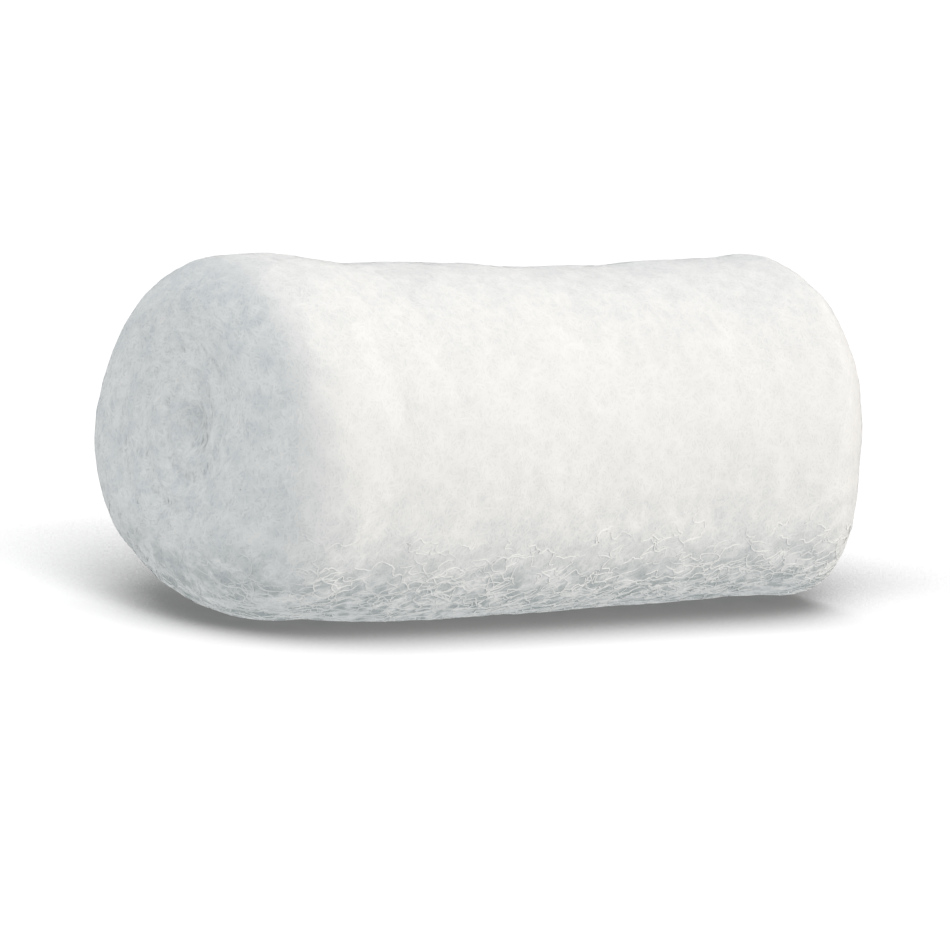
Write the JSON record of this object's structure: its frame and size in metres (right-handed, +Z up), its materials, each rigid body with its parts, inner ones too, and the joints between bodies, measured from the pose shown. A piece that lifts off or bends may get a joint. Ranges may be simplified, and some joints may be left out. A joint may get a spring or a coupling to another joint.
{
  "type": "gauze bandage roll",
  "caption": "Soft roll of crinkled cotton gauze bandage lying on its side, with fluffy wound turns, a rim of outer turns at the near end and coiled end faces, for dressing wounds.",
  "frame": {"origin": "on the surface that the roll lies on, in the middle under it", "axes": "+X along the roll's axis from the rimmed end to the other end, +Y from the roll's front to its back, +Z up"},
  "size_m": [0.1176, 0.0544, 0.0541],
  "materials": {
    "cotton_gauze": "bleached white cotton gauze, soft, fluffy and matte"
  },
  "bodies": {
    "root": {"gauze_roll": "cotton_gauze"}
  },
  "joints": []
}
